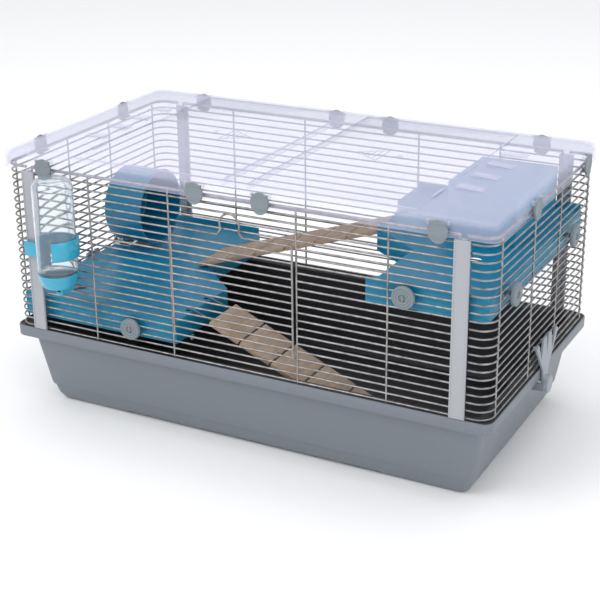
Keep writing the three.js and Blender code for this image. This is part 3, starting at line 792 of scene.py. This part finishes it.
class CAGE_OT_roof(bpy.types.Operator):
    """Model the clear roof with its lid openings, clip ears and raised bosses"""

    bl_idname = "cage.roof"
    bl_label = "Roof"

    def execute(self, context):
        cover = lofted(
            [
                (324.8, 174.2, 353, 12), (328, 177.4, 352), (329.8, 179.2, 350),
                (331.2, 180.6, 347), (331.8, 181.2, 344), (331.8, 181.2, 333.4),
                (332.2, 181.6, 333), (333.4, 182.8, 333), (333.8, 183.2, 333.4),
                (333.8, 183.2, 346), (333.2, 182.6, 349.6), (331.6, 181, 352.4),
                (329, 178.4, 354.2), (325.8, 175.2, 355),
            ],
            segments=10,
        )
        openings = [
            block((min(a, b), -168, 340), (max(a, b), 168, 360))
            for a, b in ((16, LID_HINGE_X + 0.6), (-16, -LID_HINGE_X - 0.6))
        ]
        notches = [
            block(
                (side * LID_HINGE_X - 3.4, y - 15.5, 348), (side * LID_HINGE_X + 3.4, y + 15.5, 360)
            )
            for side in (-1, 1)
            for y in KNUCKLE_Y
        ]
        cut_away(cover, openings + notches)
        pieces = [cover]
        for side in (-1, 1):
            for y in (-75, -25, 25, 75):
                pieces.append(self.boss(side, y))
        for wall, along in CLIPS.values():
            distance = ROOF_Y if wall in ("front", "back") else ROOF_X
            for offset in (-12, 12):
                ear = block((offset - 1.2, -4.6, 346.8), (offset + 1.2, 1, 352), 0.6)
                pieces.append(placed_on_wall(ear, wall, along, distance))
        roof = joined(pieces)
        finish_piece(
            roof, "roof_look", "wire_top", clear_roof_plastic(), ["roof_frame"]
        )
        return {"FINISHED"}

    def boss(self, side, y):
        """A low wedge on the flat end of the roof, highest on the side towards the lid."""
        x0, x1 = sorted((side * 244, side * 276))
        wedge = block((x0, y - 8, 354.8), (x1, y + 8, 358))
        take(wedge)
        for vertex in wedge.data.vertices:
            if vertex.co.z > 0.356 and abs(vertex.co.x) > 0.26:
                vertex.co.z = 0.3553
        bevel(wedge, 0.5 * MM)
        return wedge


class CAGE_OT_lids(bpy.types.Operator):
    """Model the two clear lids with their moulded arrows and hinge knuckles"""

    bl_idname = "cage.lids"
    bl_label = "Lids"

    def execute(self, context):
        for name, side in (("left_lid", -1), ("right_lid", 1)):
            x0, x1 = sorted((side * 16.4, side * 231.6))
            plate = block((x0, -167.6, 352.4), (x1, 167.6, 354.4), 0.5)
            l0, l1 = sorted((side * 16.4, side * 18.2))
            lip = block((l0, -167.6, 346.4), (l1, 167.6, 353.4), 0.4)
            pieces = [plate, lip]
            for y in KNUCKLE_Y:
                at = Vector((side * LID_HINGE_X, y - 15, LID_HINGE_Z)) * MM
                pieces.append(bar(at, at + Vector((0, 30 * MM, 0)), 2.6 * MM, 24))
            pieces += self.arrow(side)
            pieces += self.rim(x0, x1)
            pieces.append(self.finger_rest(side))
            finish_piece(
                joined(pieces), name + "_look", name, clear_roof_plastic(), [name]
            )
        return {"FINISHED"}

    def rim(self, x0, x1):
        """Rounded ridges along the four edges of a lid."""
        near, far, edge = x0 + 1, x1 - 1, 166.6
        corners = [(near, -edge), (far, -edge), (far, edge), (near, edge)]
        return [
            bar(Vector((ax, ay, 354.2)) * MM, Vector((bx, by, 354.2)) * MM, 0.8 * MM, 8)
            for (ax, ay), (bx, by) in zip(corners, corners[1:] + corners[:1])
        ]

    def arrow(self, side):
        """A triangular moulding of raised ribs that points to the middle of the roof."""
        base_x, tip_x = side * 112, side * 76
        ribs = []
        corners = [(base_x, -17), (tip_x, 6), (base_x, 29)]
        for (ax, ay), (bx, by) in zip(corners, corners[1:] + corners[:1]):
            ribs.append(
                bar(Vector((ax, ay, 354.6)) * MM, Vector((bx, by, 354.6)) * MM, 0.8 * MM, 8)
            )
        for share in (0.2, 0.4, 0.6):
            x = base_x + (tip_x - base_x) * share
            reach = 23 * (1 - share)
            ribs.append(
                bar(
                    Vector((x, 6 - reach, 354.6)) * MM, Vector((x, 6 + reach, 354.6)) * MM,
                    0.6 * MM, 8,
                )
            )
        return ribs

    def finger_rest(self, side):
        place = Vector((side * 132, 12, 354)) * MM
        return turned([(0, 0), (4, 0), (4, 0.6), (3, 1.2), (0, 1.3)], place, (0, 0, 1), 24)


class CAGE_OT_clips(bpy.types.Operator):
    """Model the swinging clips that hold the roof on the wires"""

    bl_idname = "cage.clips"
    bl_label = "Roof clips"

    def execute(self, context):
        model = self.clip()
        for name, (wall, along) in CLIPS.items():
            distance = ROOF_Y if wall in ("front", "back") else ROOF_X
            piece = placed_on_wall(copied(model), wall, along, distance)
            finish_piece(piece, name + "_look", name, clip_grey(), [name])
        bpy.data.objects.remove(model)
        return {"FINISHED"}

    def clip(self):
        """An egg-shaped lever with a rim round its face and a foot under the rail."""
        outline = []
        for i in range(36):
            turn = math.tau * i / 36
            reach = 12 if i < 18 else 15
            outline.append((12 * math.cos(turn), 340.5 + reach * math.sin(turn)))
        head = slab(outline, 0, 2.8)
        head.matrix_world = Matrix.Translation((0, -2.4 * MM, 0)) @ Matrix.Rotation(
            math.radians(90), 4, "X"
        )
        settle(head)
        take(head)
        bpy.ops.object.mode_set(mode="EDIT")
        bpy.ops.mesh.select_all(action="DESELECT")
        bpy.ops.object.mode_set(mode="OBJECT")
        for face in head.data.polygons:
            face.select = face.normal.y < -0.9
        bpy.ops.object.mode_set(mode="EDIT")
        bpy.ops.mesh.inset(thickness=1.6 * MM)
        bpy.ops.transform.translate(value=(0, 0.7 * MM, 0))
        bpy.ops.object.mode_set(mode="OBJECT")
        bevel(head, 0.4 * MM, 2, 40)
        foot = block((-7.5, -5, 330.5), (7.5, 4, 332.6), 0.5)
        pivot = Vector((0, -3.7, CLIP_PIVOT_Z)) * MM
        reach = Vector((10.4 * MM, 0, 0))
        barrel = bar(pivot - reach, pivot + reach, 1.6 * MM, 20)
        return joined([head, foot, barrel])


class CAGE_OT_latches(bpy.types.Operator):
    """Model the two fan-shaped latches at the ends of the tray"""

    bl_idname = "cage.latches"
    bl_label = "End latches"

    def execute(self, context):
        for name in ("left_latch", "right_latch"):
            finish_piece(
                softened_copy(name, 0.5), name + "_look", name,
                plastic("Latch grey plastic", (0.30, 0.32, 0.36), gloss=0.4), [name],
            )
        return {"FINISHED"}


# ---- inside pieces -------------------------------------------------------------------------


class CAGE_OT_shelves(bpy.types.Operator):
    """Model the two moulded shelves"""

    bl_idname = "cage.shelves"
    bl_label = "Shelves"

    def execute(self, context):
        for name in ("left_shelf", "right_shelf"):
            piece = softened_copy(name, 0.9, 3)
            finish_piece(piece, name + "_look", "wire_top", shelf_teal(), [name])
        return {"FINISHED"}


class CAGE_OT_knobs(bpy.types.Operator):
    """Model the grooved knobs that hold the shelves to the wires"""

    bl_idname = "cage.knobs"
    bl_label = "Shelf knobs"

    def execute(self, context):
        profile = [
            (0, 6.3), (2.2, 6.3), (2.6, 5.9), (2.6, 5.2), (4.4, 5.2), (5, 5.8), (5, 6.9),
            (5.6, 7.3), (7, 7.3), (7.5, 6.6), (8, 6.6), (8.5, 7.3), (10, 7.3), (10.5, 6.6),
            (11, 6.6), (11.5, 7.3), (12.6, 7.3), (13.6, 6.4), (14, 5.6), (14, 2.4), (13.4, 1.8),
            (2.6, 1.8), (2.6, -13.8), (2.2, -14.2), (0, -14.2),
        ]
        model = turned(profile, (0, 0, 0), (0, -1, 0), 48)
        grip = block((-0.8, -7.2, -5), (0.8, -5.6, 5), 0.3)
        model = joined([model, grip])
        for name, (wall, along, z) in KNOBS.items():
            distance = (WALL_Y if wall == "front" else WALL_X) / MM
            piece = copied(model)
            placed_on_wall(piece, wall, along, distance)
            piece.location.z = z * MM
            settle(piece)
            finish_piece(piece, name + "_look", name, clip_grey(), [name])
        bpy.data.objects.remove(model)
        return {"FINISHED"}


class CAGE_OT_ladders(bpy.types.Operator):
    """Model the two ladders: planks threaded on wires that hook into a shelf"""

    bl_idname = "cage.ladders"
    bl_label = "Ladders"

    def execute(self, context):
        self.ladder("lower_ramp", **RAMP)
        self.ladder("upper_bridge", **BRIDGE)
        return {"FINISHED"}

    def ladder(self, name, x, z, slope, y, width, planks, hook):
        sizes = bpy.context.scene.cage_sizes
        direction = 1 if slope < 0 else -1
        place = Matrix.Translation(Vector((x, y, z)) * MM) @ Matrix.Rotation(
            math.radians(-slope), 4, "Y"
        )
        boards = []
        for i in range(planks):
            near = direction * i * sizes.plank_step / MM
            far = near + direction * sizes.plank / MM
            low, high = sorted((near, far))
            board = block(
                (low, -width / 2, -sizes.plank_thickness / MM), (high, width / 2, 0), 0.7
            )
            board.matrix_world = place
            settle(board)
            boards.append(board)
        finish_piece(
            joined(boards), name + "_planks", name,
            bare_wood("Bare wood, " + name.replace("_", " "), slope), [name],
        )
        length = (planks * sizes.plank_step - 6 * MM) * direction
        wires = []
        for offset in (-22 * MM, 22 * MM):
            at = y * MM + offset
            start = place @ Vector((direction * 6 * MM, offset, -sizes.plank_thickness / 2))
            end = place @ Vector((length, offset, -sizes.plank_thickness / 2))
            hook_x, hook_z = hook[0] * MM, hook[1] * MM
            lip = hook_x + direction * 11 * MM
            points = [
                Vector((hook_x, at, hook_z - 5.8 * MM)),
                Vector((hook_x, at, hook_z - 0.8 * MM)),
                Vector((hook_x + direction * 1.2 * MM, at, hook_z)),
                Vector((lip, at, hook_z)),
                Vector((lip + direction * 1.5 * MM, at, hook_z - 0.8 * MM)),
                start,
                end,
            ]
            wires.append(wire_path(points, 0.9 * MM))
        finish_piece(joined(wires), name + "_wires", name, wire_metal(), (), 60)


class CAGE_OT_wheel(bpy.types.Operator):
    """Model the running wheel, its axle and its stand"""

    bl_idname = "cage.wheel"
    bl_label = "Wheel"

    def execute(self, context):
        drum = turned(
            [
                (3.1, -60), (12, -60), (13, -59.4), (48, -59.4), (51, -60), (52.4, -59.2),
                (53, -57.6), (53, -2.6), (53.6, -2), (54, -1.6), (54, -0.4), (53.6, 0),
                (51.2, 0), (50.6, -0.6), (50.6, -56.6), (49.4, -57.8), (10, -57.8), (9, -57),
                (9, -52.6), (8.4, -52), (3.1, -52), (3.1, -60),
            ],
            WHEEL, (1, 0, 0), 72,
        )
        treads = [self.tread(i) for i in range(TREADS)]
        finish_piece(
            joined([drum, *treads]), "wheel_look", "wheel",
            plastic("Wheel teal plastic", colours().wheel, gloss=0.32, drift=0.2, coat=0.08),
            ["wheel_drum"],
        )
        axle = turned(
            [(0, -68), (2.6, -68), (3, -67.6), (3, -51.6), (5.6, -51.6), (6, -51.2),
             (6, -49.6), (5, -49), (0, -49)],
            WHEEL, (1, 0, 0), 32,
        )
        finish_piece(
            axle, "axle_look", "wire_top", wire_metal(), ["wheel_axle"]
        )
        finish_piece(
            softened_copy("wheel_stand", 0.4), "wheel_stand_look", "wire_top",
            clear_plastic("Clear stand", (0.9, 0.97, 1.0)), ["wheel_stand"],
        )
        return {"FINISHED"}

    def tread(self, i):
        """One of the treads inside the drum."""
        tread = block((-56, -0.7, 48.9), (-2, 0.7, 50.9), 0.3)
        tread.matrix_world = Matrix.Translation(WHEEL) @ Matrix.Rotation(
            math.tau * i / TREADS, 4, "X"
        )
        settle(tread)
        return tread


class CAGE_OT_hide(bpy.types.Operator):
    """Model the sleeping house on the upper shelf"""

    bl_idname = "cage.hide"
    bl_label = "Hide"

    def execute(self, context):
        finish_piece(
            softened_copy("hide_house", 0.8, 3), "hide_look", "wire_top",
            plastic("Hide blue plastic", colours().hide, gloss=0.3, coat=0.1), ["hide_house"],
        )
        return {"FINISHED"}


class CAGE_OT_bottle(bpy.types.Operator):
    """Model the drinking bottle, its cap, spout and holder"""

    bl_idname = "cage.bottle"
    bl_label = "Drinking bottle"

    def execute(self, context):
        body = turned(
            [(20.6, 207.5), (21.9, 207.5), (22.1, 207.8), (22.1, 215.4), (23, 216.4),
             (24.8, 217), (25.5, 218), (25.5, 327), (24.8, 331.6), (22.6, 335),
             (19, 337.2), (15.5, 338), (0, 338), (0, 336), (14.5, 336), (18.6, 335),
             (21.6, 332.4), (23.4, 328.6), (23.9, 325), (23.9, 219.6), (22.4, 218.2),
             (20.6, 217.3), (20.6, 207.5)],
            BOTTLE, (0, 0, 1), 64,
        )
        finish_piece(
            body, "bottle_look", "bottle",
            clear_plastic("Clear bottle", (0.93, 0.97, 1.0)), ["bottle_body"],
        )
        cap = turned(
            [(0, 196), (14, 196), (18, 196.9), (21, 199), (23.4, 203.4), (25.2, 212),
             (25.8, 214.6), (25.8, 215.6), (25.4, 216), (22.9, 216), (22.5, 215.6), (22.5, 206),
             (0, 206)],
            BOTTLE, (0, 0, 1), 64,
        )
        nose = turned(
            [(3.4, 0), (4.8, 0), (5.4, 0.6), (5.4, 24), (4.6, 25.6), (3.4, 26), (0, 26),
             (0, 22), (3.4, 22), (3.4, 0)],
            BOTTLE + Vector((0, 24, 188)) * MM, (0, -1, 0), 32,
        )
        web = block((-5, -2, 188), (5, 14, 197), 0.8)
        web.location = BOTTLE
        settle(web)
        finish_piece(
            joined([cap, nose, web]), "bottle_cap_look", "wire_top", fitting_blue(),
            ["bottle_cap"],
        )
        slope = math.radians(-15)
        along = Vector((0, math.cos(slope), math.sin(slope)))
        middle = BOTTLE + Vector((0, 26, 184.4)) * MM
        spout = turned(
            [(0, 0), (2.7, 0), (3, 0.4), (3, 40), (2.8, 41), (2.2, 41.8), (0, 42)],
            middle - along * 12 * MM, along, 32,
        )
        finish_piece(
            spout, "spout_look", "wire_top", wire_metal(), ["bottle_spout"]
        )
        ring = turned(
            [(26.1, 238.4), (26.5, 238), (28, 238), (28.2, 238.4), (28.8, 244), (28.8, 261.6),
             (28.4, 262.2), (28, 262.5), (26.6, 262.5), (26.1, 262), (26.1, 238.4)],
            BOTTLE, (0, 0, 1), 64,
        )
        mouth = slab([(0, 0), (-60, 0), (-60, -60), (28, -60)], 220, 270)
        mouth.location = BOTTLE
        settle(mouth)
        cut_away(ring, [mouth])
        arm = block((-303, -190.4, 220), (-263, -187.4, 240), 0.9)
        web = block((-267, -209, 222), (-263, -187.4, 258), 0.9)
        finish_piece(
            joined([ring, arm, web]), "bottle_holder_look", "wire_top",
            fitting_blue(), ["bottle_holder"],
        )
        return {"FINISHED"}


# ---- stage ---------------------------------------------------------------------------------


class CAGE_OT_stage(bpy.types.Operator):
    """Set the pale floor, the soft studio light and the camera"""

    bl_idname = "cage.stage"
    bl_label = "Stage"

    def execute(self, context):
        clear_selection()
        bpy.ops.mesh.primitive_plane_add(size=14, location=(0, 0, -0.0002))
        floor = bpy.context.object
        floor.name = "floor"
        material, nodes, links = new_material("Studio floor")
        nodes["Principled BSDF"].inputs["Base Color"].default_value = (0.93, 0.93, 0.935, 1)
        nodes["Principled BSDF"].inputs["Roughness"].default_value = 0.9
        floor.data.materials.append(material)
        self.light("key", (-1.3, -2.2, 2.6), 2.2, 38)
        self.light("fill", (2.6, -1.4, 1.6), 2.0, 16)
        self.light("top", (0.1, 0.4, 2.9), 2.6, 24)
        world = bpy.data.worlds.new("Studio")
        world.use_nodes = True
        world.node_tree.nodes["Background"].inputs["Color"].default_value = (0.97, 0.98, 1, 1)
        world.node_tree.nodes["Background"].inputs["Strength"].default_value = 0.85
        context.scene.world = world
        self.camera(context.scene)
        return {"FINISHED"}

    def light(self, name, place, size, power):
        data = bpy.data.lights.new(name, "AREA")
        data.size = size
        data.energy = power
        lamp = bpy.data.objects.new(name, data)
        lamp.location = place
        aim = Vector((0, 0, 0.15)) - Vector(place)
        lamp.rotation_euler = aim.to_track_quat("-Z", "Y").to_euler()
        bpy.context.collection.objects.link(lamp)

    def camera(self, scene):
        azimuth, elevation, roll = (math.radians(v) for v in (27.813, 22.244, -0.625))
        target = Vector((1.0, -8.05, 145.9)) * MM
        back = Vector(
            (
                math.sin(azimuth) * math.cos(elevation),
                -math.cos(azimuth) * math.cos(elevation),
                math.sin(elevation),
            )
        )
        data = bpy.data.cameras.new("camera")
        data.sensor_width = 36
        data.lens = 84.4
        data.clip_start, data.clip_end = 0.1, 50
        camera = bpy.data.objects.new("camera", data)
        camera.location = target + back * 1858.3 * MM
        turn = (-back).to_track_quat("-Z", "Y").to_matrix() @ Matrix.Rotation(roll, 3, "Z")
        camera.rotation_euler = turn.to_euler()
        scene.collection.objects.link(camera)
        scene.camera = camera
        scene.view_settings.view_transform = "Standard"


# ---- add-on --------------------------------------------------------------------------------

BUILD_ORDER = [
    CAGE_OT_tray, CAGE_OT_liner, CAGE_OT_wire_walls, CAGE_OT_door, CAGE_OT_posts, CAGE_OT_roof,
    CAGE_OT_lids, CAGE_OT_clips, CAGE_OT_latches, CAGE_OT_shelves, CAGE_OT_knobs,
    CAGE_OT_ladders, CAGE_OT_wheel, CAGE_OT_hide, CAGE_OT_bottle, CAGE_OT_stage,
]


class CAGE_PT_panel(bpy.types.Panel):
    bl_label = "Hamster Cage"
    bl_idname = "CAGE_PT_panel"
    bl_space_type = "VIEW_3D"
    bl_region_type = "UI"
    bl_category = "Hamster Cage"

    def draw(self, context):
        layout = self.layout
        for group in (context.scene.cage_sizes, context.scene.cage_colours):
            for key in group.bl_rna.properties.keys():
                if key not in ("rna_type", "name"):
                    layout.prop(group, key)
        for operator in BUILD_ORDER:
            layout.operator(operator.bl_idname)


CLASSES = [CageSizes, CageColours, *BUILD_ORDER, CAGE_PT_panel]


def register():
    for cls in CLASSES:
        bpy.utils.register_class(cls)
    bpy.types.Scene.cage_sizes = PointerProperty(type=CageSizes)
    bpy.types.Scene.cage_colours = PointerProperty(type=CageColours)


def unregister():
    del bpy.types.Scene.cage_colours
    del bpy.types.Scene.cage_sizes
    for cls in reversed(CLASSES):
        bpy.utils.unregister_class(cls)


def main():
    register()
    for operator in BUILD_ORDER:
        group, name = operator.bl_idname.split(".")
        getattr(getattr(bpy.ops, group), name)()
    clear_selection()


if __name__ == "__main__":
    main()
